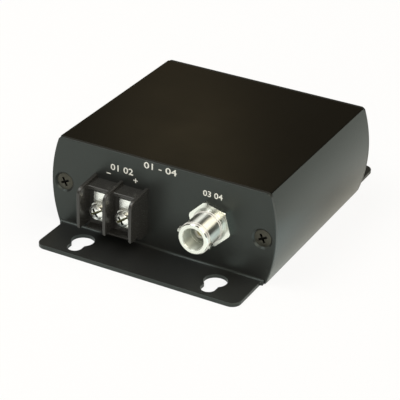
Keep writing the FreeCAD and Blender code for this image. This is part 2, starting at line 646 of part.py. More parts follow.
def make_earth_screw():
    seat = out(EARTH_WASHER)
    crown = seat - EARTH_HEAD
    top = crown + EARTH_DOME
    end = seat + EARTH_SCREW_LENGTH
    outline = [(0, top), (EARTH_HEAD_R, top), (EARTH_HEAD_R, seat), (EARTH_SCREW_R, seat), (EARTH_SCREW_R, end),
               (0, end)]
    screw = turned_y(outline, EARTH_X, EARTH_Z)
    screw = screw.fuse(dome_y(EARTH_HEAD_R, EARTH_DOME, EARTH_X, EARTH_Z, top)).removeSplitter()
    cross = cross_recess(EARTH_X, EARTH_Z, crown, EARTH_CROSS_LONG, EARTH_CROSS_WIDE, EARTH_CROSS_DEEP,
                         EARTH_TURN)
    return screw.cut(cross)


def make_earth_washer():
    hole = rod_y(EARTH_SCREW_R + HOLE_GAP, EARTH_X, EARTH_Z, out(0), out(EARTH_WASHER))
    return rod_y(EARTH_WASHER_R, EARTH_X, EARTH_Z, out(0), out(EARTH_WASHER)).cut(hole)


def make_earth_nut():
    y0 = PLATE_BACK + TAG
    nut = hexagon_y(EARTH_NUT_HEX, EARTH_X, EARTH_Z, y0, y0 + EARTH_NUT)
    return nut.cut(rod_y(EARTH_SCREW_R + THREAD_GAP, EARTH_X, EARTH_Z, y0, y0 + EARTH_NUT))


# Parts on the board: each maker returns its solid and the x, y of its leads

def axial_part(x, y, body_r, body_length, cap_r, cap_length, span):
    """A round body that lies along Y, with wires bent down at both ends."""
    z = BOARD_TOP + max(body_r, cap_r)
    half = body_length / 2
    outline = [(0, y - half), (cap_r, y - half), (cap_r, y - half + cap_length),
               (body_r, y - half + cap_length), (body_r, y + half - cap_length),
               (cap_r, y + half - cap_length), (cap_r, y + half), (0, y + half)]
    part = turned_y(outline, x, z)
    for way in (-1, 1):
        end = y + way * span / 2
        points = [Vec(x, y + way * (half - LEAD_R), z), Vec(x, end, z), Vec(x, end, LEAD_END)]
        part = part.fuse(bent_rod(points, 2 * LEAD_R, LEAD_R))
    return part, [(x, y - span / 2), (x, y + span / 2)]


def resistor(x, y):
    return axial_part(x, y, RESISTOR_R, RESISTOR_LENGTH, RESISTOR_CAP_R, RESISTOR_CAP, RESISTOR_SPAN)


def diode(x, y):
    return axial_part(x, y, DIODE_R, DIODE_LENGTH, DIODE_END_R, DIODE_END, DIODE_SPAN)


def varistor(x, y):
    """A coated disc that stands across Y on two straight leads."""
    z = BOARD_TOP + VARISTOR_LIFT + VARISTOR_R
    half = VARISTOR_THICK / 2
    flat_r = VARISTOR_R - VARISTOR_BEVEL
    rim = half - VARISTOR_BEVEL
    outline = [(0, y - half), (flat_r, y - half), (VARISTOR_R, y - rim), (VARISTOR_R, y + rim),
               (flat_r, y + half), (0, y + half)]
    leads = [(x - VARISTOR_PITCH / 2, y), (x + VARISTOR_PITCH / 2, y)]
    return turned_y(outline, x, z).fuse([post_z(LEAD_R, a, b, LEAD_END, z) for a, b in leads]), leads


def choke(x, y):
    """A drum core that stands on the board, with its winding as one sleeve between the flanges."""
    low, high = BOARD_TOP + CHOKE_FLANGE, BOARD_TOP + CHOKE_HEIGHT
    drum = post_z(CHOKE_R, x, y, BOARD_TOP, low)
    drum = drum.fuse([post_z(CHOKE_WINDING_R, x, y, BOARD_TOP, high),
                      post_z(CHOKE_R, x, y, high - CHOKE_FLANGE, high)])
    leads = [(x - CHOKE_PITCH / 2, y), (x + CHOKE_PITCH / 2, y)]
    return drum.fuse([post_z(LEAD_R, a, b, LEAD_END, low) for a, b in leads]).removeSplitter(), leads


def gas_tube(x, y, length, rings):
    """A ceramic tube that lies along X between metal rings, each ring on a lead of its own."""
    z = BOARD_TOP + GAS_TUBE_R + GAS_TUBE_LIFT
    first = x - length / 2 + GAS_TUBE_RING / 2
    step = (length - GAS_TUBE_RING) / (rings - 1)
    places = [first + step * i for i in range(rings)]
    axis = Vec(1, 0, 0)
    tube = Part.makeCylinder(GAS_TUBE_WAIST_R, length, Vec(x - length / 2, y, z), axis)
    half = GAS_TUBE_RING / 2
    tube = tube.fuse([Part.makeCylinder(GAS_TUBE_R, GAS_TUBE_RING, Vec(p - half, y, z), axis) for p in places])
    leads = [(p, y) for p in places]
    return tube.fuse([post_z(LEAD_R, a, b, LEAD_END, z) for a, b in leads]), leads


def on_board(across, along):
    """A place on the board, as shares of its half width and half depth."""
    return across * board_half_width(), along * BOARD_HALF_DEPTH


def make_board_parts():
    return {
        "gas_tube_video": gas_tube(*on_board(0.62, -0.28), GAS_TUBE_TWO_POLE, 2),
        "resistor_video": resistor(*on_board(0.3, -0.1)),
        "diode_video": diode(*on_board(0.06, 0.2)),
        "gas_tube_power": gas_tube(*on_board(-0.38, -0.56), GAS_TUBE_THREE_POLE, 3),
        "varistor_line": varistor(*on_board(-0.72, -0.32)),
        "varistor_return": varistor(*on_board(-0.38, -0.24)),
        "varistor_bridge": varistor(*on_board(-0.72, -0.08)),
        "choke_line": choke(*on_board(-0.72, 0.24)),
        "choke_return": choke(*on_board(-0.36, 0.12)),
        "diode_power": diode(*on_board(0.62, 0.38)),
    }


def make_board(lead_places):
    half = board_half_width()
    board = box(-half, half, -BOARD_HALF_DEPTH, BOARD_HALF_DEPTH, BOARD_Z, BOARD_TOP)
    holes = [post_z(LEAD_HOLE_R, a, b, BOARD_Z, BOARD_TOP) for a, b in lead_places]
    pin_y = out(-TAIL_PIN_IN)
    pin_r = math.hypot(TAIL_PIN_WIDTH, STRIP) / 2 + SLIDE_GAP
    for way in (1, -1):
        holes.append(post_z(LEAD_HOLE_R, way * JACK_X, way * LINK_Y, BOARD_Z, BOARD_TOP))
        holes += [post_z(pin_r, way * x, way * pin_y, BOARD_Z, BOARD_TOP) for x in POLES]
    return board.cut(holes)


# Assembly

def near_end():
    return {
        "panel_screw_left": make_panel_screw(-1),
        "panel_screw_right": make_panel_screw(1),
        "terminal_block": make_terminal_block(),
        "terminal_contact_left": make_contact(POLES[0]),
        "terminal_contact_right": make_contact(POLES[1]),
        "terminal_clamp_left": make_clamp(POLES[0]),
        "terminal_clamp_right": make_clamp(POLES[1]),
        "terminal_screw_left": make_clamp_screw(POLES[0], CLAMP_SCREW_TURNS[0]),
        "terminal_screw_right": make_clamp_screw(POLES[1], CLAMP_SCREW_TURNS[1]),
        "jack_body": make_jack_body(),
        "jack_insulator": make_jack_insulator(),
        "jack_contact": make_jack_contact(),
        "jack_earth_tag": make_tag(JACK_X, JACK_Z, JACK_THREAD_R + HOLE_GAP, TAG_R, TAG),
        "jack_lock_washer": make_jack_lock_washer(),
        "jack_nut": make_jack_nut(),
        "jack_link": make_jack_link(),
    }


def turned_round(shape):
    """The same shape at the far end."""
    far = shape.copy()
    far.rotate(Vec(0, 0, 0), Vec(0, 0, 1), 180)
    return far


def make_all():
    nodes = {"case_body": make_case_body(), "front_panel": make_plate([])}
    earth_hole = rod_y(EARTH_SCREW_R + HOLE_GAP, EARTH_X, EARTH_Z, FACE_Y - PLATE, PLATE_BACK + PLATE)
    nodes["rear_panel"] = turned_round(make_plate([earth_hole]))
    for name, shape in near_end().items():
        nodes["front_" + name] = shape
        nodes["rear_" + name] = turned_round(shape)
    nodes["earth_screw"] = turned_round(make_earth_screw())
    nodes["earth_washer"] = turned_round(make_earth_washer())
    nodes["earth_nut"] = turned_round(make_earth_nut())
    nodes["earth_tag"] = turned_round(make_tag(EARTH_X, EARTH_Z, EARTH_SCREW_R + HOLE_GAP, EARTH_WASHER_R, TAG))
    lead_places = []
    for name, (shape, leads) in make_board_parts().items():
        nodes[name] = shape
        lead_places += leads
    nodes["circuit_board"] = make_board(lead_places)
    return nodes


def main():
    os.makedirs("parts", exist_ok=True)
    for name, shape in make_all().items():
        shape.exportStep("parts/" + name + ".step")


main()
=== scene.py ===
"""Looks of a surge protector for a camera's video and power lines, on its CAD frame."""

import math

import bmesh
import bpy
from bpy.props import FloatProperty, FloatVectorProperty, PointerProperty
from mathutils import Matrix, Vector


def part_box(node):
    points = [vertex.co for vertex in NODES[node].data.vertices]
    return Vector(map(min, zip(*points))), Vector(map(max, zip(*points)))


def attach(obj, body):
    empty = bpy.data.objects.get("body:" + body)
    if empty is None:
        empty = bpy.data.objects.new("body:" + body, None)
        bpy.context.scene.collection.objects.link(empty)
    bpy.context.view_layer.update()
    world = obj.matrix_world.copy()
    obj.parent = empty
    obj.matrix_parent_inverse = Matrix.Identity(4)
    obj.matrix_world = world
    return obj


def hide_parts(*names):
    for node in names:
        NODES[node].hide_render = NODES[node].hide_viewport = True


bl_info = {
    "name": "Surge protector looks",
    "version": (1, 0, 0),
    "blender": (4, 5, 0),
    "location": "3D View > Sidebar > Surge protector",
    "description": "Finishes, printed marks and studio of a surge protector in its metal case",
    "category": "Object",
}

MM = 0.001

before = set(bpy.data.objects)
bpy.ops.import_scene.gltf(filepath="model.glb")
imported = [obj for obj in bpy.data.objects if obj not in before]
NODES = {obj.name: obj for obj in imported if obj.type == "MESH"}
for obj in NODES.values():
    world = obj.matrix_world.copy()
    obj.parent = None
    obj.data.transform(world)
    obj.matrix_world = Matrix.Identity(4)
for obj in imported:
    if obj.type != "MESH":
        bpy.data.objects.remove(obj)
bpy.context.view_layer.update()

# The print on each end plate, as it reads from outside: words, how far right of the middle, height above
# the floor, width and height, in millimetres. The ends are numbered one after the other.
NUMBERS = {
    "front": ("01 02", "01 - 04", "03 04"),
    "rear": ("05 06", "05 - 08", "07 08"),
}
NUMBER_PLACES = [(-13.35, 24.75, 7.7, 2.1), (-0.35, 28.45, 11.0, 2.1), (17.2, 24.7, 6.4, 1.9)]
SIGN_PLACES = [("-", -17.9, 22.3, 1.5, 0.32), ("+", -8.6, 22.3, 1.5, 1.5)]

# A fin's lower toe, in millimetres: the centre of the round that the source gives it, as distance outwards
# and height, and how much of that round becomes a square corner
TOE_CENTRE = (42.0, 9.2)
TOE_SQUARENESS = 0.85

# Screw heads, in millimetres: radius of the ball that the dome is cut from, and how far from the axis the
# driver's recess reaches
PANEL_HEAD = (12.754, 1.8)
EARTH_HEAD = (7.65, 2.3)
TERMINAL_HEAD = (4.902, 2.3)

# Shares of painted shade: how much of a recess's painted shade is on a screw head's side wall, and on the contact
# strips from just over the clamp's upper edge down
WALL_SHADE = 0.5
EDGE_SHADE = 0.55

# Soldered to the board, besides what stands on it
WIRED = ("jack_link", "terminal_contact_left", "terminal_contact_right")
ON_BOARD = ("gas_tube_video", "resistor_video", "diode_video", "gas_tube_power", "varistor_line",
            "varistor_return", "varistor_bridge", "choke_line", "choke_return", "diode_power")

# In millimetres: how level the lowest points of a lead are, and how near each other
LEAD_LEVEL = 0.05
LEAD_REACH = 1.5

# Pitch of a choke's winding, in times half its wire's thickness
TURN_PITCH = 2.05

# The jack, in millimetres: the bore's radius, and the radius past which only the hexagon reaches
BORE_RADIUS = 3.4
SHELL_REACH = 5.4

# Thin dark rings on each jack's shell, painted shade standing for the shade in its turned grooves, in millimetres:
# distance outwards of the first, and how many
JACK_RINGS = [(37.0, 2), (44.45, 2)]
RING_PITCH = 0.85

# Where noise has nearly all of its values
NOISE_LOW = 0.3
NOISE_HIGH = 0.7

# The studio's colours: tints, and shares of the strengths and colours among the settings
KEY_TINT = (1.0, 0.93, 0.79)
KEY_SHARE = 1.25
FILL_TINT = (1.0, 0.99, 0.90)
FILL_SHARE = 0.42
DARK_SHARE = 0.18
WALL_SHARE = 0.55
GLOW_SHARE = 6.5

# Where the part's top is lightest, in millimetres, and how wide the glow is that it mirrors
GLOW_SPOT = (6.0, -34.0, 30.0)
GLOW_ANGLE = math.radians(3.2)

# The floor: half its width, and how much of what the camera sees of it is plain white
FLOOR_HALF = 4.0
FLOOR_WHITE = 0.85

# The part mirrors all of that white only in front of it and on its right. The shares fade along Y, from the
# front to the back, and along X, from the left to the right: from and to where, and from and to which share.
WHITE_ALONG = (-0.025, 0.02, 1.0, 0.25)
WHITE_ACROSS = (0.038, 0.052, 0.3, 1.0)


# Tools shared by the node trees

def feed(tree, value, target):
    """Sets an input to a value, or links it to the socket that feeds it. Colours come without their alpha."""
    if isinstance(value, bpy.types.NodeSocket):
        tree.links.new(value, target)
    elif target.type == "RGBA":
        target.default_value = (*value, 1.0)
    else:
        target.default_value = value


def add_node(tree, kind, inputs=None, **settings):
    """A node with its settings. Each of its inputs gets a value or a socket."""
    node = tree.nodes.new(kind)
    for key, value in settings.items():
        setattr(node, key, value)
    for key, value in (inputs or {}).items():
        feed(tree, value, node.inputs[key])
    return node


def calculated(tree, operation, *values):
    return add_node(tree, "ShaderNodeMath", dict(enumerate(values)), operation=operation).outputs[0]


def ramped(tree, value, start, stop, low=0.0, high=1.0, **settings):
    """A value carried over from one range to another, and held at its ends."""
    ramp = add_node(tree, "ShaderNodeMapRange", {"Value": value, "From Min": start, "From Max": stop,
                                                 "To Min": low, "To Max": high}, **settings)
    return ramp.outputs["Result"]


def mixed(tree, factor, first, second, **settings):
    """A colour between two others."""
    mix = add_node(tree, "ShaderNodeMix", {"Factor": factor, "A": first, "B": second}, data_type="RGBA", **settings)
    return mix.outputs["Result"]


def placed(tree, move=(0.0, 0.0, 0.0), stretch=(1.0, 1.0, 1.0)):
    """Object coordinates, stretched and then moved."""
    place = add_node(tree, "ShaderNodeTexCoord")
    mapping = add_node(tree, "ShaderNodeMapping", {"Vector": place.outputs["Object"], "Location": move,
                                                   "Scale": stretch})
    return mapping.outputs["Vector"]


def coordinate(tree, axis, kind="Object"):
    place = add_node(tree, "ShaderNodeTexCoord")
    return add_node(tree, "ShaderNodeSeparateXYZ", {"Vector": place.outputs[kind]}).outputs[axis]


def length(tree, vector):
    return add_node(tree, "ShaderNodeVectorMath", {0: vector}, operation="LENGTH").outputs["Value"]


def noise(tree, per_mm, stretch=(1.0, 1.0, 1.0), detail=3.0):
    """Noise on Object coordinates, with about that many grains in a millimetre."""
    texture = add_node(tree, "ShaderNodeTexNoise", {"Vector": placed(tree, stretch=stretch), "Scale": per_mm / MM,
                                                    "Detail": detail})
    return texture.outputs["Fac"]


def varied(tree, pattern, low, high):
    """A number between two limits, led by noise."""
    return ramped(tree, pattern, NOISE_LOW, NOISE_HIGH, low, high)


# Tools shared by the finishes

def new_finish(name, color, roughness, metallic=0.0):
    """A material, its node tree and its shader, with the plain values set."""
    material = bpy.data.materials.new(name)
    material.use_nodes = True
    tree = material.node_tree
    shader = tree.nodes["Principled BSDF"]
    feed(tree, color, shader.inputs["Base Color"])
    feed(tree, roughness, shader.inputs["Roughness"])
    feed(tree, metallic, shader.inputs["Metallic"])
    return material, tree, shader


def scaled(color, factor):
    return tuple(channel * factor for channel in color)


def mottle(tree, shader, pattern, color, low, high):
    """Lets a pattern lead the colour between a darker and a lighter one."""
    feed(tree, mixed(tree, pattern, scaled(color, low), scaled(color, high)), shader.inputs["Base Color"])


def roughen(tree, shader, pattern, low, high):
    """Lets a pattern lead the roughness between two limits."""
    feed(tree, varied(tree, pattern, low, high), shader.inputs["Roughness"])


def relief(tree, shader, pattern, depth_mm, strength):
    bump = add_node(tree, "ShaderNodeBump", {"Height": pattern, "Distance": depth_mm * MM, "Strength": strength})
    feed(tree, bump.outputs["Normal"], shader.inputs["Normal"])


def paint_shade(tree, shader, factor, color):
    """Mixes a second colour over what the shader has, where the factor is one: painted shade in screws' recesses,
    on their side walls and on the strips under the clamps' edge.
    """
    base = shader.inputs["Base Color"]
    feed(tree, mixed(tree, factor, base.links[0].from_socket, color), base)


def dress(material, *names):
    """Gives a finish to CAD nodes."""
    for name in names:
        for slot in NODES[name].material_slots:
            slot.material = material


def both_ends(*names):
    return [end + name for end in ("front_", "rear_") for name in names]


def middle_of(name):
    """The middle of a CAD node's box."""
    low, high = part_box(name)
    return (low + high) / 2


# Pieces made by Geometry Nodes

def new_tree(name, inputs, keeps_mesh=False):
    """An empty node tree with named inputs, each a (name, socket type, default), and the sockets that give them."""
    tree = bpy.data.node_groups.new(name, "GeometryNodeTree")
    if keeps_mesh:
        tree.interface.new_socket("Geometry", in_out="INPUT", socket_type="NodeSocketGeometry")
    for label, kind, default in inputs:
        tree.interface.new_socket(label, in_out="INPUT", socket_type=kind).default_value = default
    tree.interface.new_socket("Material", in_out="INPUT", socket_type="NodeSocketMaterial")
    tree.interface.new_socket("Geometry", in_out="OUTPUT", socket_type="NodeSocketGeometry")
    return tree, tree.nodes.new("NodeGroupInput").outputs


def close_tree(tree, given, result):
    """Ends a tree in real geometry with its material."""
    real = add_node(tree, "GeometryNodeRealizeInstances", {"Geometry": result})
    paint = add_node(tree, "GeometryNodeSetMaterial", {"Geometry": real.outputs["Geometry"],
                                                       "Material": given["Material"]})
    add_node(tree, "NodeGroupOutput", {"Geometry": paint.outputs["Geometry"]})
    return tree


def circle(tree, resolution, radius):
    ring = add_node(tree, "GeometryNodeCurvePrimitiveCircle", {"Resolution": resolution, "Radius": radius})
    return ring.outputs["Curve"]


def coil_tree():
    """Round wire wound up Z, from the origin."""
    tree, given = new_tree("wound_wire", [
        ("Turns", "NodeSocketFloat", 16.0), ("Radius", "NodeSocketFloat", 4.0 * MM),
        ("Height", "NodeSocketFloat", 7.0 * MM), ("Wire", "NodeSocketFloat", 0.2 * MM)])
    coil = add_node(tree, "GeometryNodeCurveSpiral", {
        "Resolution": 40, "Rotations": given["Turns"], "Start Radius": given["Radius"],
        "End Radius": given["Radius"], "Height": given["Height"]})
    tube = add_node(tree, "GeometryNodeCurveToMesh", {
        "Curve": coil.outputs["Curve"], "Profile Curve": circle(tree, 8, given["Wire"]), "Fill Caps": True})
    return close_tree(tree, given, tube.outputs["Mesh"])


def joints_tree():
    """A cone of solder at each point, widening upwards."""
    tree, given = new_tree("solder_joints", [
        ("Wide", "NodeSocketFloat", 1.0 * MM), ("Narrow", "NodeSocketFloat", 0.5 * MM),
        ("Depth", "NodeSocketFloat", 0.6 * MM)], True)
    cone = add_node(tree, "GeometryNodeMeshCone", {
        "Vertices": 20, "Radius Top": given["Wide"], "Radius Bottom": given["Narrow"], "Depth": given["Depth"]})
    spots = add_node(tree, "GeometryNodeInstanceOnPoints", {
        "Instance": cone.outputs["Mesh"], "Points": given["Geometry"]})
    return close_tree(tree, given, spots.outputs["Instances"])


def rings_tree():
    """Fine rings round the Y axis, in a row along it."""
    tree, given = new_tree("turned_rings", [
        ("Count", "NodeSocketInt", 2), ("Pitch", "NodeSocketVector", (0.0, -1.0 * MM, 0.0)),
        ("Radius", "NodeSocketFloat", 5.0 * MM), ("Wire", "NodeSocketFloat", 0.1 * MM)])
    row = add_node(tree, "GeometryNodeMeshLine", {"Count": given["Count"], "Offset": given["Pitch"]})
    upright = add_node(tree, "GeometryNodeTransform", {
        "Geometry": circle(tree, 96, given["Radius"]), "Rotation": (math.pi / 2, 0.0, 0.0)})
    tube = add_node(tree, "GeometryNodeCurveToMesh", {
        "Curve": upright.outputs["Geometry"], "Profile Curve": circle(tree, 8, given["Wire"])})
    spots = add_node(tree, "GeometryNodeInstanceOnPoints", {
        "Instance": tube.outputs["Mesh"], "Points": row.outputs["Mesh"]})
    return close_tree(tree, given, spots.outputs["Instances"])


def grown(name, tree, values, points=()):
    """The plain mesh that a tree makes with those values for its inputs, from loose points if it needs any."""
    seed = bpy.data.meshes.new(name)
    seed.from_pydata(list(points), [], [])
    holder = bpy.data.objects.new(name, seed)
    bpy.context.scene.collection.objects.link(holder)
    modifier = holder.modifiers.new("nodes", "NODES")
    modifier.node_group = tree
    for item in tree.interface.items_tree:
        if item.in_out == "INPUT" and item.name in values:
            modifier[item.identifier] = values[item.name]
    bpy.context.view_layer.update()
    mesh = bpy.data.meshes.new_from_object(holder.evaluated_get(bpy.context.evaluated_depsgraph_get()))
    holder.modifiers.remove(modifier)
    bpy.data.objects.remove(holder)
    return mesh


def add_piece(mesh):
    """Puts a mesh into the scene as a piece of the part, under the mesh's own name."""
    piece = bpy.data.objects.new(mesh.name, mesh)
    bpy.context.scene.collection.objects.link(piece)
    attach(piece, "root")
    return piece


def settle(name, meshes):
    """One smooth piece of the part from several meshes, which share a material."""
    whole = bmesh.new()
    for mesh in meshes:
        whole.from_mesh(mesh)
    data = bpy.data.meshes.new(name)
    whole.to_mesh(data)
    whole.free()
    data.materials.append(meshes[0].materials[0])
    data.shade_smooth()
    data.set_sharp_from_angle(angle=math.radians(40))
    add_piece(data)


def lead_places(name):
    """Where the leads of a CAD node end under the board: the middle of each group of its lowest points."""
    points = [vertex.co for vertex in NODES[name].data.vertices]
    lowest = min(point.z for point in points)
    groups = []
    for point in points:
        if point.z > lowest + LEAD_LEVEL * MM:
            continue
        for group in groups:
            if (group[0] - point).length < LEAD_REACH * MM:
                group.append(point)
                break
        else:
            groups.append([point])
    places = []
    for group in groups:
        low = Vector([min(point[i] for point in group) for i in range(3)])
        high = Vector([max(point[i] for point in group) for i in range(3)])
        places.append((low + high) / 2)
    return places


def outward(end):
    """The direction along Y in which an end of the part faces."""
    return -1.0 if end == "front" else 1.0


def squared_block(end, material):
    """The end's barrier block, with the fins' lower toes drawn out to nearly square corners.

    It keeps the corner normals of the CAD mesh, but the toes' own are turned to the nearer flat side."""
    mesh = NODES[end + "_terminal_block"].data
    side = outward(end)
    reach, height = (value * MM for value in TOE_CENTRE)
    directions = []
    for corner, loop in zip(mesh.corner_normals, mesh.loops):
        place = mesh.vertices[loop.vertex_index].co
        facing = corner.vector.copy()
        if place.y * side > reach and place.z < height:
            across = math.hypot(facing.y, facing.z)
            ahead = abs(facing.y) > abs(facing.z)
            facing = Vector((facing.x, side * across, 0.0) if ahead else (facing.x, 0.0, -across))
        directions.append(facing)
    shell = bmesh.new()
    shell.from_mesh(mesh)
    bmesh.ops.remove_doubles(shell, verts=shell.verts, dist=0.0001 * MM)
    for vertex in shell.verts:
        out = vertex.co.y * side - reach
        down = height - vertex.co.z
        if out > 0 and down > 0:
            square = math.hypot(out, down) / max(out, down)
            stretch = 1.0 + (square - 1.0) * TOE_SQUARENESS
            vertex.co.y = side * (reach + out * stretch)
            vertex.co.z = height - down * stretch
    data = bpy.data.meshes.new(end + "_barrier")
    shell.to_mesh(data)
    shell.free()
    data.materials.clear()
    data.materials.append(material)
    if len(data.loops) == len(directions):
        data.normals_split_custom_set(directions)
    piece = add_piece(data)
    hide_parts(end + "_terminal_block")


def shell_rings(end, settings):
    """Thin dark rings on a jack's shell: painted shade standing for the shade in its turned grooves."""
    painted_groove = plain_finish(end + "_painted_groove_shade", tuple(settings.groove_shade_color), 0.6, 0.3)
    middle = middle_of(end + "_jack_insulator")
    side = outward(end)
    tree = rings_tree()
    rows = []
    for first, count in JACK_RINGS:
        row = grown("rings", tree, {"Count": count, "Pitch": (0.0, side * RING_PITCH * MM, 0.0),
                                    "Radius": settings.shell_radius, "Wire": settings.ring_wire,
                                    "Material": painted_groove})
        row.transform(Matrix.Translation((middle.x, side * first * MM, middle.z)))
        rows.append(row)
    settle(end + "_jack_rings", rows)


# Settings that a user would change

def color_property(name, description, default):
    return FloatVectorProperty(name=name, description=description, default=default, subtype="COLOR",
                               size=3, min=0.0, max=1.0)


def share_property(name, description, default):
    return FloatProperty(name=name, description=description, default=default, min=0.0, max=1.0,
                         subtype="FACTOR")


class CaseSettings(bpy.types.PropertyGroup):
    """Finish of the sleeve, the end plates and their screws"""

    sleeve_color: color_property("Sleeve", "Black of the extruded sleeve", (0.0050, 0.0046, 0.0040))
    sleeve_roughness: share_property("Sleeve roughness", "Roughness of the sleeve's satin black", 0.2)
    sleeve_gloss: color_property("Sleeve gloss", "Cool tint of the sleeve's gloss", (0.75, 1.0, 0.92))
    sleeve_shine: share_property("Sleeve shine", "Strength of the sleeve's gloss", 0.40)
    plate_color: color_property("Plates", "Black of the folded end plates", (0.017, 0.0175, 0.0175))
    plate_roughness: share_property("Plate roughness", "Roughness of the plates' powder coat", 0.36)
    screw_color: color_property("Screws", "Blackened zinc of the panel screws", (0.07, 0.068, 0.055))
    plate_gloss: color_property("Plate gloss", "Cool tint of the plates' gloss", (0.84, 1.0, 0.95))


class ConnectorSettings(bpy.types.PropertyGroup):
    """Finish of the jacks and the screw terminals"""

    nickel_color: color_property("Nickel", "Nickel plate of the jacks", (0.85, 0.87, 0.81))
    bore_color: color_property("Bore", "Dull nickel inside the jack's bore", (0.62, 0.66, 0.60))
    nickel_roughness: share_property("Nickel roughness", "Spread of the nickel's gloss along the jack", 0.37)
    shell_radius: FloatProperty(name="Shell radius", description="Radius of the jack's shell, where its rings sit",
                                default=4.76 * MM, unit="LENGTH")
    ring_wire: FloatProperty(name="Ring", description="Half the width of a turned ring", default=0.19 * MM,
                             unit="LENGTH")
    # The rings' dark colour is painted shade of the turned grooves
    groove_shade_color: color_property("Ring colour", "Dull nickel of the turned rings", (0.09, 0.07, 0.035))
    tin_color: color_property("Tin", "Bright plate of the terminal's metal", (0.98, 0.99, 0.96))
    # Colour of the painted shade in the screws' recesses and on the contact strips under the clamps
    painted_shade_color: color_property("Recess", "Olive shade in the screws' recesses", (0.07, 0.07, 0.035))
    block_color: color_property("Block", "Black plastic of the barrier blocks", (0.028, 0.028, 0.027))


class BoardSettings(bpy.types.PropertyGroup):
    """Solder joints and windings on the circuit board"""

    joint_radius: FloatProperty(name="Joint radius", description="Radius of a solder joint at the board",
                                default=0.95 * MM, unit="LENGTH")
    joint_depth: FloatProperty(name="Joint depth", description="How far a solder joint reaches down its lead",
                               default=0.6 * MM, unit="LENGTH")
    choke_core: FloatProperty(name="Core radius", description="Radius of a choke's drum under its wire",
                              default=3.8 * MM, unit="LENGTH")
    choke_flange: FloatProperty(name="Flange", description="Thickness of the drum's flanges", default=1.2 * MM,
                                unit="LENGTH")
    choke_wire: FloatProperty(name="Wire", description="Half the thickness of the choke's wire", default=0.2 * MM,
                              unit="LENGTH")


class MarkSettings(bpy.types.PropertyGroup):
    """The printed numbers"""

    ink_color: color_property("Ink", "White of the printed numbers", (0.80, 0.82, 0.80))
    ink_thickness: FloatProperty(name="Ink thickness", description="Height of the print over the plate",
                                 default=0.03 * MM, min=0.005 * MM, max=0.2 * MM, unit="LENGTH")
    ink_weight: FloatProperty(name="Ink weight", description="How much bolder than the plain typeface, as a "
                              "share of the type's size", default=0.012, min=0.0, max=0.05)


class StudioSettings(bpy.types.PropertyGroup):
    """Camera and light"""

    azimuth: FloatProperty(name="Azimuth", description="Camera's turn round the part, from its front",
                           default=math.radians(27.427), subtype="ANGLE")
    elevation: FloatProperty(name="Elevation", description="Camera's height as an angle",
                             default=math.radians(28.601), subtype="ANGLE")
    roll: FloatProperty(name="Roll", description="Camera's turn about its own view",
                        default=math.radians(1.867), subtype="ANGLE")
    distance: FloatProperty(name="Distance", description="From the camera to the plane of its target",
                            default=0.51326, unit="LENGTH")
    target_right: FloatProperty(name="Target right", description="Target's place to the right in the picture",
                                default=-0.003993, unit="LENGTH")
    target_up: FloatProperty(name="Target up", description="Target's place up in the picture",
                             default=0.002074, unit="LENGTH")
    lens: FloatProperty(name="Lens", description="Focal length on a 36 mm sensor, in millimetres",
                        default=145.8)
    floor_color: color_property("Floor", "Pale floor", (0.82, 0.82, 0.82))
    floor_tone: color_property("Floor's tone", "Cool tone of the floor where it is mirrored", (0.86, 1.0, 1.0))
    floor_glow: FloatProperty(name="Floor's glow", description="Brightness of the lit floor where it is mirrored",
                              default=1.5, min=0.0)
    surround_color: color_property("Surround", "Dim warm room between horizon and ceiling", (0.105, 0.078, 0.045))
    ceiling_strength: FloatProperty(name="Ceiling", description="Brightness of the long soft boxes", default=2.4,
                                    min=0.0)
    softbox_strength: FloatProperty(name="Softbox", description="Strength of the key light", default=0.8, min=0.0)


# Finishes

def sleeve_black(settings):
    """Black anodised extrusion: satin, with faint draw lines along its length."""
    rough = settings.sleeve_roughness
    material, tree, shader = new_finish("sleeve_black", settings.sleeve_color, rough)
    feed(tree, settings.sleeve_gloss, shader.inputs["Specular Tint"])
    feed(tree, settings.sleeve_shine, shader.inputs["Specular IOR Level"])
    lines = noise(tree, 2.2, (1.0, 0.02, 1.0), 4.0)
    mottle(tree, shader, lines, settings.sleeve_color, 0.8, 1.25)
    roughen(tree, shader, noise(tree, 0.05), rough * 0.9, rough * 1.12)
    relief(tree, shader, lines, 0.004, 0.6)
    return material


def plate_black(settings):
    """Black powder coat: a fine orange peel over the folded steel."""
    rough = settings.plate_roughness
    material, tree, shader = new_finish("plate_black", settings.plate_color, rough)
    feed(tree, settings.plate_gloss, shader.inputs["Specular Tint"])
    grain = noise(tree, 1.6, detail=2.0)
    mottle(tree, shader, noise(tree, 0.06), settings.plate_color, 0.85, 1.2)
    roughen(tree, shader, grain, rough * 0.9, rough * 1.15)
    relief(tree, shader, grain, 0.012, 0.7)
    return material


def recess(tree, name, dome_mm, reach_mm):
    """Mask of painted shade on a screw: nought on its head, one in its driver's recess, and a share on its side
    wall.

    The recess is what lies inside the ball of the head's dome and near its axis."""
    low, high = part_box(name)
    middle = middle_of(name)
    side = 1.0 if middle.y > 0 else -1.0
    ball_y = side * (max(abs(low.y), abs(high.y)) - dome_mm * MM)
    radius = length(tree, placed(tree, (-middle.x, 0.0, -middle.z), (1, 0, 1)))
    from_ball = length(tree, placed(tree, (-middle.x, -ball_y, -middle.z)))
    inside = ramped(tree, radius, (reach_mm - 0.1) * MM, reach_mm * MM, 1.0, 0.0)
    deep = ramped(tree, from_ball, (dome_mm - 0.14) * MM, (dome_mm - 0.06) * MM, 1.0, 0.0)
    head = (high.x - low.x) / 2
    wall = ramped(tree, radius, head - 0.12 * MM, head - 0.06 * MM, 0.0, WALL_SHADE)
    return calculated(tree, "MAXIMUM", calculated(tree, "MULTIPLY", inside, deep), wall)


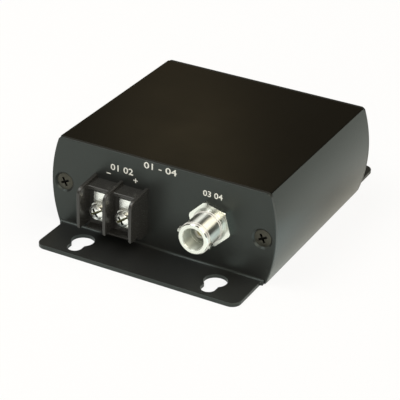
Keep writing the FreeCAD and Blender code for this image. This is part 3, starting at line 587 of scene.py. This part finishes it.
def screw_black(settings, name):
    """Blackened zinc, worn a little brighter in places, with painted shade in its recess and on its side wall."""
    color = settings.screw_color
    material, tree, shader = new_finish(name + "_black", color, 0.42, 0.85)
    worn = noise(tree, 1.2)
    mottle(tree, shader, worn, color, 0.6, 1.4)
    # Painted shade: the recess and the head's side wall are darkened towards black
    paint_shade(tree, shader, recess(tree, name, *PANEL_HEAD), scaled(color, 0.1))
    roughen(tree, shader, worn, 0.34, 0.52)
    relief(tree, shader, noise(tree, 5.0), 0.01, 0.5)
    return material


def turned_nickel(settings, end):
    """Nickel on turned brass. The tool's fine rings spread its gloss along the jack, and outwards on flat ends.

    The hexagon's flats and the mouth's rim are smoother, and the bore is rougher and duller."""
    rough = settings.nickel_roughness
    material, tree, shader = new_finish(end + "_turned_nickel", settings.nickel_color, rough, 1.0)
    feed(tree, 1.0, shader.inputs["Anisotropic"])
    middle = middle_of(end + "_jack_insulator")
    feed(tree, placed(tree, (-middle.x, 1.0, -middle.z), (1, 0, 1)), shader.inputs["Tangent"])
    radius = length(tree, placed(tree, (-middle.x, 0.0, -middle.z), (1, 0, 1)))
    bored = ramped(tree, radius, BORE_RADIUS * MM, (BORE_RADIUS + 0.2) * MM, 1.0, 0.0)
    plate = mixed(tree, bored, settings.nickel_color, settings.bore_color)
    clouds = varied(tree, noise(tree, 0.4), 0.93, 1.0)
    feed(tree, mixed(tree, 1.0, plate, clouds, blend_type="MULTIPLY"), shader.inputs["Base Color"])
    feed(tree, ramped(tree, bored, 0.0, 1.0, 1.0, 0.4), shader.inputs["Metallic"])
    tip = max(abs(corner.y) for name in ("_jack_insulator", "_jack_body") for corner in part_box(end + name))
    along = calculated(tree, "ABSOLUTE", coordinate(tree, "Y"))
    faced = ramped(tree, along, tip - 0.2 * MM, tip - 0.1 * MM, 1.0, 0.5)
    milled = ramped(tree, radius, SHELL_REACH * MM, (SHELL_REACH + 0.2) * MM, rough, 0.14)
    spread = calculated(tree, "ADD", milled, calculated(tree, "MULTIPLY", bored, 0.3))
    feed(tree, calculated(tree, "MULTIPLY", spread, faced), shader.inputs["Roughness"])
    relief(tree, shader, noise(tree, 9.0, (0.02, 1.0, 0.02), 2.0), 0.004, 0.5)
    return material


def tin_finish(settings, name):
    """Bright plated sheet and screws, a little uneven from stamping."""
    material, tree, shader = new_finish(name, settings.tin_color, 0.22, 1.0)
    clouds = noise(tree, 0.9)
    mottle(tree, shader, clouds, settings.tin_color, 0.9, 1.0)
    roughen(tree, shader, clouds, 0.22, 0.32)
    relief(tree, shader, noise(tree, 2.5), 0.008, 0.4)
    return material, tree, shader


def bright_tin(settings):
    return tin_finish(settings, "bright_tin")[0]


def recessed_tin(settings, name, head):
    """Bright tin on a screw, with painted shade in the driver's recess and on its side wall."""
    material, tree, shader = tin_finish(settings, name + "_tin")
    # Painted shade in the recess and on the side wall
    paint_shade(tree, shader, recess(tree, name, *head), settings.painted_shade_color)
    return material


def strip_tin(settings):
    """Bright tin on the contact strips, with painted shade on them from just over the clamp's upper edge down."""
    material, tree, shader = tin_finish(settings, "strip_tin")
    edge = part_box("front_terminal_clamp_left")[1].z
    # Painted shadow of the clamp's upper edge on the strip
    clamp_shadow = ramped(tree, coordinate(tree, "Z"), edge + 0.45 * MM, edge + 0.75 * MM, EDGE_SHADE, 0.0)
    paint_shade(tree, shader, clamp_shadow, settings.painted_shade_color)
    return material


def block_plastic(settings):
    """Black moulded plastic with a fine spark texture."""
    material, tree, shader = new_finish("block_plastic", settings.block_color, 0.4)
    grain = noise(tree, 4.0, detail=2.0)
    mottle(tree, shader, noise(tree, 0.2), settings.block_color, 0.85, 1.2)
    roughen(tree, shader, grain, 0.2, 0.28)
    relief(tree, shader, grain, 0.004, 0.5)
    return material


def plain_finish(name, color, roughness, metallic=0.0, per_mm=1.0, depth_mm=0.01):
    """A finish with a little mottle and grain, for the small pieces."""
    material, tree, shader = new_finish(name, color, roughness, metallic)
    grain = noise(tree, per_mm)
    mottle(tree, shader, grain, color, 0.88, 1.08)
    roughen(tree, shader, grain, roughness * 0.85, roughness * 1.15)
    relief(tree, shader, grain, depth_mm, 0.5)
    return material


# Operators

class SURGE_OT_case(bpy.types.Operator):
    """Finish the sleeve, the end plates and the panel screws"""

    bl_idname = "surge.case"
    bl_label = "Case"

    def execute(self, context):
        settings = context.scene.surge_case
        dress(sleeve_black(settings), "case_body")
        dress(plate_black(settings), "front_panel", "rear_panel")
        for screw in both_ends("panel_screw_left", "panel_screw_right"):
            dress(screw_black(settings, screw), screw)
        return {"FINISHED"}


class SURGE_OT_terminals(bpy.types.Operator):
    """Finish the barrier blocks with their contacts, clamps and screws, and the earth screw"""

    bl_idname = "surge.terminals"
    bl_label = "Screw terminals"

    def execute(self, context):
        settings = context.scene.surge_connector
        plastic = block_plastic(settings)
        for end in ("front", "rear"):
            squared_block(end, plastic)
        tin = bright_tin(settings)
        dress(tin, *both_ends("terminal_clamp_left", "terminal_clamp_right"))
        dress(strip_tin(settings), *both_ends("terminal_contact_left", "terminal_contact_right"))
        for screw in both_ends("terminal_screw_left", "terminal_screw_right"):
            dress(recessed_tin(settings, screw, TERMINAL_HEAD), screw)
        dress(recessed_tin(settings, "earth_screw", EARTH_HEAD), "earth_screw")
        dress(tin, "earth_washer", "earth_nut", "earth_tag")
        return {"FINISHED"}


class SURGE_OT_jacks(bpy.types.Operator):
    """Finish the coaxial jacks and what is clamped behind them"""

    bl_idname = "surge.jacks"
    bl_label = "Jacks"

    def execute(self, context):
        settings = context.scene.surge_connector
        for end in ("front", "rear"):
            nickel = turned_nickel(settings, end)
            dress(nickel, end + "_jack_body", end + "_jack_nut", end + "_jack_lock_washer")
            shell_rings(end, settings)
        # The insulator's white is greyed: painted shade deep in the bore
        dress(plain_finish("white_insulator_with_painted_shade", (0.60, 0.61, 0.57), 0.35), *both_ends("jack_insulator"))
        dress(plain_finish("gold_contact", (0.78, 0.68, 0.42), 0.25, 1.0), *both_ends("jack_contact"))
        dress(bright_tin(settings), *both_ends("jack_earth_tag", "jack_link"))
        return {"FINISHED"}


class SURGE_OT_board(bpy.types.Operator):
    """Finish the circuit board and its parts"""

    bl_idname = "surge.board"
    bl_label = "Circuit board"

    def execute(self, context):
        dress(plain_finish("board_green", (0.02, 0.16, 0.06), 0.35), "circuit_board")
        dress(plain_finish("white_ceramic", (0.78, 0.76, 0.72), 0.25), "gas_tube_video", "gas_tube_power")
        dress(plain_finish("blue_coating", (0.03, 0.10, 0.35), 0.45),
              "varistor_line", "varistor_return", "varistor_bridge")
        dress(plain_finish("dark_ferrite", (0.03, 0.028, 0.026), 0.6), "choke_line", "choke_return")
        dress(plain_finish("black_epoxy", (0.02, 0.02, 0.02), 0.5), "diode_power", "diode_video")
        dress(plain_finish("beige_lacquer", (0.55, 0.42, 0.26), 0.4), "resistor_video")
        settings = context.scene.surge_board
        self.solder(settings)
        self.wind(settings)
        return {"FINISHED"}

    def solder(self, settings):
        """A solder joint under the board at each lead."""
        solder = plain_finish("solder", (0.62, 0.62, 0.60), 0.3, 1.0, 2.0, 0.02)
        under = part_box("circuit_board")[0].z
        spots = [place for name in (*ON_BOARD, *both_ends(*WIRED)) for place in lead_places(name)]
        joints = grown("joints", joints_tree(), {
            "Wide": settings.joint_radius, "Narrow": settings.joint_radius * 0.55, "Depth": settings.joint_depth,
            "Material": solder}, [(spot.x, spot.y, under - settings.joint_depth) for spot in spots])
        settle("solder_joints", [joints])

    def wind(self, settings):
        """Enamelled wire round each choke, between the flanges of its drum."""
        copper = plain_finish("copper_enamel", (0.60, 0.24, 0.09), 0.3, 0.9, 1.5, 0.005)
        tree = coil_tree()
        wire = settings.choke_wire
        for name in ("choke_line", "choke_return"):
            middle = middle_of(name)
            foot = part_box("circuit_board")[1].z + settings.choke_flange + wire
            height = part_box(name)[1].z - settings.choke_flange - wire - foot
            coil = grown("coil", tree, {"Turns": math.floor(height / (TURN_PITCH * wire)),
                                        "Radius": settings.choke_core + wire, "Height": height, "Wire": wire,
                                        "Material": copper})
            coil.transform(Matrix.Translation((middle.x, middle.y, foot)))
            settle(name + "_winding", [coil])


class SURGE_OT_marks(bpy.types.Operator):
    """Print the plain numbers on both end plates"""

    bl_idname = "surge.marks"
    bl_label = "Printed numbers"

    def execute(self, context):
        settings = context.scene.surge_marks
        ink = plain_finish("white_ink", tuple(settings.ink_color), 0.55, per_mm=3.0, depth_mm=0.005)
        face_y = -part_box("earth_washer")[0].y
        for end, turn in (("front", 0.0), ("rear", math.pi)):
            print_mesh = printed_marks(end, face_y, settings)
            print_mesh.transform(Matrix.Rotation(turn, 4, "Z"))
            print_mesh.materials.append(ink)
            add_piece(print_mesh)
        return {"FINISHED"}


def text_mesh(words, width, height, settings):
    """Words as a thin mesh of that size, centred, upright in the XZ plane and readable from -Y."""
    curve = bpy.data.curves.new("words", "FONT")
    curve.body = words
    curve.extrude = settings.ink_thickness / 2
    curve.offset = settings.ink_weight
    curve.resolution_u = 3
    holder = bpy.data.objects.new("words", curve)
    bpy.context.scene.collection.objects.link(holder)
    bpy.context.view_layer.update()
    mesh = bpy.data.meshes.new_from_object(holder.evaluated_get(bpy.context.evaluated_depsgraph_get()))
    bpy.data.objects.remove(holder)
    low = Vector([min(v.co[i] for v in mesh.vertices) for i in range(3)])
    high = Vector([max(v.co[i] for v in mesh.vertices) for i in range(3)])
    across = width * MM / (high.x - low.x)
    up = height * MM / (high.y - low.y)
    mesh.transform(Matrix.Translation(-(low + high) / 2))
    mesh.transform(Matrix.Diagonal((across, up, 1.0, 1.0)))
    mesh.transform(Matrix.Rotation(math.pi / 2, 4, "X"))
    return mesh


def printed_marks(end, face_y, settings):
    """All print of one end as one mesh, on the near plate's face."""
    marks = [(words, *place) for words, place in zip(NUMBERS[end], NUMBER_PLACES)] + SIGN_PLACES
    vertices = []
    faces = []
    for words, x, z, width, height in marks:
        mesh = text_mesh(words, width, height, settings)
        place = Vector((x * MM, face_y - settings.ink_thickness / 2, z * MM))
        start = len(vertices)
        vertices += [v.co + place for v in mesh.vertices]
        faces += [[start + i for i in polygon.vertices] for polygon in mesh.polygons]
    whole = bpy.data.meshes.new(end + "_numbers")
    whole.from_pydata(vertices, [], faces)
    return whole


class SURGE_OT_stage(bpy.types.Operator):
    """Set up the pale floor, the soft light and the camera"""

    bl_idname = "surge.stage"
    bl_label = "Studio"

    def execute(self, context):
        settings = context.scene.surge_studio
        add_floor(settings)
        add_world(context.scene, settings)
        add_softbox(settings)
        add_camera(context.scene, settings)
        context.scene.view_settings.view_transform = "Standard"
        return {"FINISHED"}


def background_rays(tree, mirrored):
    """One where a ray sees the background itself, and a share where it sees it in metal or through glass."""
    path = add_node(tree, "ShaderNodeLightPath").outputs
    indirect = calculated(tree, "MAXIMUM", path["Is Glossy Ray"], path["Is Transmission Ray"])
    return calculated(tree, "MAXIMUM", path["Is Camera Ray"], calculated(tree, "MULTIPLY", indirect, mirrored))


def blended(tree, factor, first, second):
    """A shader between two others."""
    blend = add_node(tree, "ShaderNodeMixShader", {"Fac": factor, 1: first.outputs[0], 2: second.outputs[0]})
    return blend.outputs[0]


def add_floor(settings):
    """A pale floor that shows white, with the part's soft shadow kept on it."""
    material = bpy.data.materials.new("floor_white")
    material.use_nodes = True
    tree = material.node_tree
    tree.nodes.clear()
    glossy = add_node(tree, "ShaderNodeLightPath").outputs["Is Glossy Ray"]
    tone = mixed(tree, glossy, (1.0, 1.0, 1.0), scaled(settings.floor_tone, settings.floor_glow))
    glow = add_node(tree, "ShaderNodeEmission", {"Color": tone, "Strength": 1.0})
    paper = add_node(tree, "ShaderNodeBsdfDiffuse", {"Color": settings.floor_color})
    along = ramped(tree, coordinate(tree, "Y"), *WHITE_ALONG)
    across = ramped(tree, coordinate(tree, "X"), *WHITE_ACROSS)
    rays = background_rays(tree, calculated(tree, "MULTIPLY", along, across))
    surface = blended(tree, calculated(tree, "MULTIPLY", rays, FLOOR_WHITE), paper, glow)
    add_node(tree, "ShaderNodeOutputMaterial", {"Surface": surface})
    half = FLOOR_HALF
    mesh = bpy.data.meshes.new("floor")
    mesh.from_pydata([(-half, -half, 0), (half, -half, 0), (half, half, 0), (-half, half, 0)], [], [(0, 1, 2, 3)])
    mesh.materials.append(material)
    floor = bpy.data.objects.new("floor", mesh)
    bpy.context.scene.collection.objects.link(floor)


def add_world(scene, settings):
    """A dim room with a long soft box above each side of the part. The camera sees plain white instead.

    The bands run over the part from its right side, at 0, to its left side, at 1."""
    world = bpy.data.worlds.new("studio")
    world.use_nodes = True
    scene.world = world
    tree = world.node_tree
    tree.nodes.clear()
    angle = calculated(tree, "ARCTAN2", coordinate(tree, "Z", "Generated"), coordinate(tree, "X", "Generated"))
    turn = calculated(tree, "DIVIDE", angle, math.pi)
    dark = scaled(settings.surround_color, DARK_SHARE)
    key = scaled(KEY_TINT, settings.ceiling_strength * KEY_SHARE)
    fill = scaled(FILL_TINT, settings.ceiling_strength * FILL_SHARE)
    sky = color_bands(tree, turn, [(0.02, dark), (0.17, dark), (0.20, key), (0.395, key), (0.465, dark),
                                   (0.57, dark), (0.625, fill), (0.68, fill), (0.80, dark)])
    behind = ramped(tree, coordinate(tree, "Y", "Generated"), 0.45, 0.7, interpolation_type="SMOOTHSTEP")
    room = add_node(tree, "ShaderNodeBackground", {"Color": mixed(tree, behind, sky, back_wall(tree, settings))})
    white = add_node(tree, "ShaderNodeBackground", {"Color": (1.0, 1.0, 1.0)})
    seen = add_node(tree, "ShaderNodeLightPath").outputs["Is Camera Ray"]
    add_node(tree, "ShaderNodeOutputWorld", {"Surface": blended(tree, seen, room, white)})


def back_wall(tree, settings):
    """The room behind the part: dim and warm, with a faint glow where the middle of the part's top mirrors it."""
    eye = camera_place(settings)[0]
    view = (eye - Vector(GLOW_SPOT) * MM).normalized()
    mirrored = Vector((-view.x, -view.y, view.z))
    direction = add_node(tree, "ShaderNodeTexCoord").outputs["Generated"]
    toward = add_node(tree, "ShaderNodeVectorMath", {0: direction, 1: mirrored}, operation="DOT_PRODUCT")
    near = ramped(tree, toward.outputs["Value"], math.cos(GLOW_ANGLE), 1.0, interpolation_type="SMOOTHSTEP")
    return mixed(tree, near, scaled(settings.surround_color, WALL_SHARE),
                 scaled(settings.surround_color, GLOW_SHARE))


def color_bands(tree, place, bands):
    """Colours that blend into each other along a value, from (place, colour) pairs."""
    ramp = add_node(tree, "ShaderNodeValToRGB", {"Fac": place})
    stops = ramp.color_ramp.elements
    while len(stops) < len(bands):
        stops.new(1.0)
    for stop, (position, color) in zip(stops, bands):
        stop.position = position
        stop.color = (*color, 1.0)
    return ramp.outputs["Color"]


def add_softbox(settings):
    """A soft key light, high on the left."""
    light = bpy.data.lights.new("softbox", "AREA")
    light.shape = "SQUARE"
    light.size = 0.5
    light.energy = 3.0 * settings.softbox_strength
    lamp = bpy.data.objects.new("softbox", light)
    lamp.location = (-0.35, -0.25, 0.75)
    aim = Vector((0, 0, 0)) - Vector(lamp.location)
    lamp.rotation_euler = aim.to_track_quat("-Z", "Y").to_euler()
    bpy.context.scene.collection.objects.link(lamp)


def camera_place(settings):
    """Where the camera stands, and its right, up and backward directions."""
    turn, rise, roll = settings.azimuth, settings.elevation, settings.roll
    back = Vector((math.sin(turn) * math.cos(rise), -math.cos(turn) * math.cos(rise), math.sin(rise)))
    right = (-back).cross(Vector((0, 0, 1))).normalized()
    up = right.cross(-back)
    rolled_right = right * math.cos(roll) + up * math.sin(roll)
    rolled_up = up * math.cos(roll) - right * math.sin(roll)
    place = rolled_right * settings.target_right + rolled_up * settings.target_up + back * settings.distance
    return place, rolled_right, rolled_up, back


def add_camera(scene, settings):
    """The camera, from its angles, its distance and the small offset of its target."""
    place, rolled_right, rolled_up, back = camera_place(settings)
    data = bpy.data.cameras.new("camera")
    data.sensor_width = 36.0
    data.sensor_fit = "HORIZONTAL"
    data.lens = settings.lens
    data.clip_start = 0.01
    data.clip_end = 50.0
    camera = bpy.data.objects.new("camera", data)
    turned = Matrix((rolled_right, rolled_up, back)).transposed().to_4x4()
    camera.matrix_world = Matrix.Translation(place) @ turned
    scene.collection.objects.link(camera)
    scene.camera = camera


class SURGE_PT_panel(bpy.types.Panel):
    """Lists the steps that dress the part"""

    bl_idname = "SURGE_PT_panel"
    bl_label = "Surge protector"
    bl_space_type = "VIEW_3D"
    bl_region_type = "UI"
    bl_category = "Surge protector"

    def draw(self, context):
        for operator in OPERATORS:
            self.layout.operator(operator.bl_idname)
        for name, group in SETTINGS.items():
            box = self.layout.box()
            for key in group.__annotations__:
                box.prop(getattr(context.scene, name), key)


SETTINGS = {
    "surge_case": CaseSettings,
    "surge_connector": ConnectorSettings,
    "surge_board": BoardSettings,
    "surge_marks": MarkSettings,
    "surge_studio": StudioSettings,
}
OPERATORS = (SURGE_OT_case, SURGE_OT_terminals, SURGE_OT_jacks, SURGE_OT_board, SURGE_OT_marks, SURGE_OT_stage)


def register():
    for group in (*SETTINGS.values(), *OPERATORS, SURGE_PT_panel):
        bpy.utils.register_class(group)
    for name, group in SETTINGS.items():
        setattr(bpy.types.Scene, name, PointerProperty(type=group))


def unregister():
    for name in SETTINGS:
        delattr(bpy.types.Scene, name)
    for group in reversed((*SETTINGS.values(), *OPERATORS, SURGE_PT_panel)):
        bpy.utils.unregister_class(group)


def main():
    register()
    bpy.ops.surge.case()
    bpy.ops.surge.terminals()
    bpy.ops.surge.jacks()
    bpy.ops.surge.board()
    bpy.ops.surge.marks()
    bpy.ops.surge.stage()


if __name__ == "__main__":
    main()
